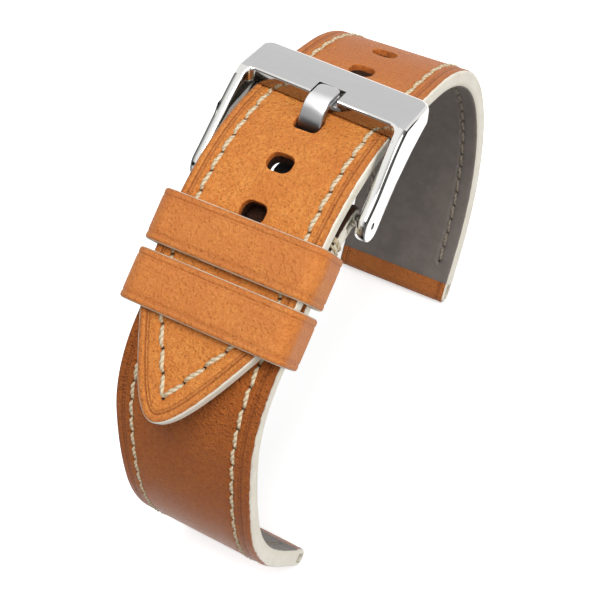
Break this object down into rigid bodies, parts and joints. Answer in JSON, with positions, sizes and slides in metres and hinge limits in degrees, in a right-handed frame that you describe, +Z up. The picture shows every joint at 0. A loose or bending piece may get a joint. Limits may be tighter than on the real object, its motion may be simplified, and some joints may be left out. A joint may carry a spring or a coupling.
{
  "type": "watch strap",
  "caption": "Two-piece leather watch strap with steel tang buckle, shown buckled and standing on its lug ends; turned lug bores, pointed tail with punched holes and leather keepers",
  "frame": {"origin": "middle of the underside, on the plane the two lug ends stand on", "axes": "X across the strap along the spring bars, Y from the pointed tip side to the back leg, Z up"},
  "size_m": [0.025, 0.074, 0.0627],
  "materials": {
    "tan_leather": "cognac tan leather with a fine grain and a creased border",
    "cream_edge": "padding with a cream painted edge",
    "grey_lining": "smooth grey-brown lining leather",
    "cream_thread": "waxed twisted thread",
    "brushed_steel": "stainless steel, brushed on top and polished at the edges",
    "bar_steel": "turned stainless steel"
  },
  "bodies": {
    "strap": {"long_outer_leather": "tan_leather", "long_filler": "cream_edge", "long_lining": "grey_lining", "long_face_thread": "cream_thread", "long_lining_thread": "cream_thread", "short_outer_leather": "tan_leather", "short_filler": "cream_edge", "short_lining": "grey_lining", "short_face_thread": "cream_thread", "short_lining_thread": "cream_thread", "fixed_keeper": "tan_leather", "keeper_bar_tacks": "cream_thread", "spring_bar_tube": "bar_steel", "spring_bar_spring": "bar_steel"},
    "frame": {"buckle_frame": "brushed_steel"},
    "tongue": {"buckle_tongue": "brushed_steel"},
    "loose_keeper": {"floating_keeper": "tan_leather"},
    "tip_left": {"spring_bar_tip_left": "bar_steel"},
    "tip_right": {"spring_bar_tip_right": "bar_steel"}
  },
  "joints": [
    {"name": "frame_hinge", "type": "hinge", "parent": "strap", "child": "frame", "pos_m": [0, -0.0028, 0.0564], "axis": [1, 0, 0], "range_deg": [0, 3]},
    {"name": "tongue_hinge", "type": "hinge", "parent": "frame", "child": "tongue", "pos_m": [0, -0.0028, 0.0564], "axis": [1, 0, 0], "range_deg": [0, 2.5]},
    {"name": "keeper_slide", "type": "slide", "parent": "strap", "child": "loose_keeper", "axis": [0, -0.9153, -0.4027], "range_m": [-0.0009, 0.0032]},
    {"name": "tip_left_slide", "type": "slide", "parent": "strap", "child": "tip_left", "axis": [1, 0, 0], "range_m": [0, 0.0015], "stiffness_N_per_m": 300, "springref_m": -0.002, "deforming": ["spring_bar_spring"]},
    {"name": "tip_right_slide", "type": "slide", "parent": "strap", "child": "tip_right", "axis": [-1, 0, 0], "range_m": [0, 0.0015], "stiffness_N_per_m": 300, "springref_m": -0.002, "deforming": ["spring_bar_spring"]}
  ]
}
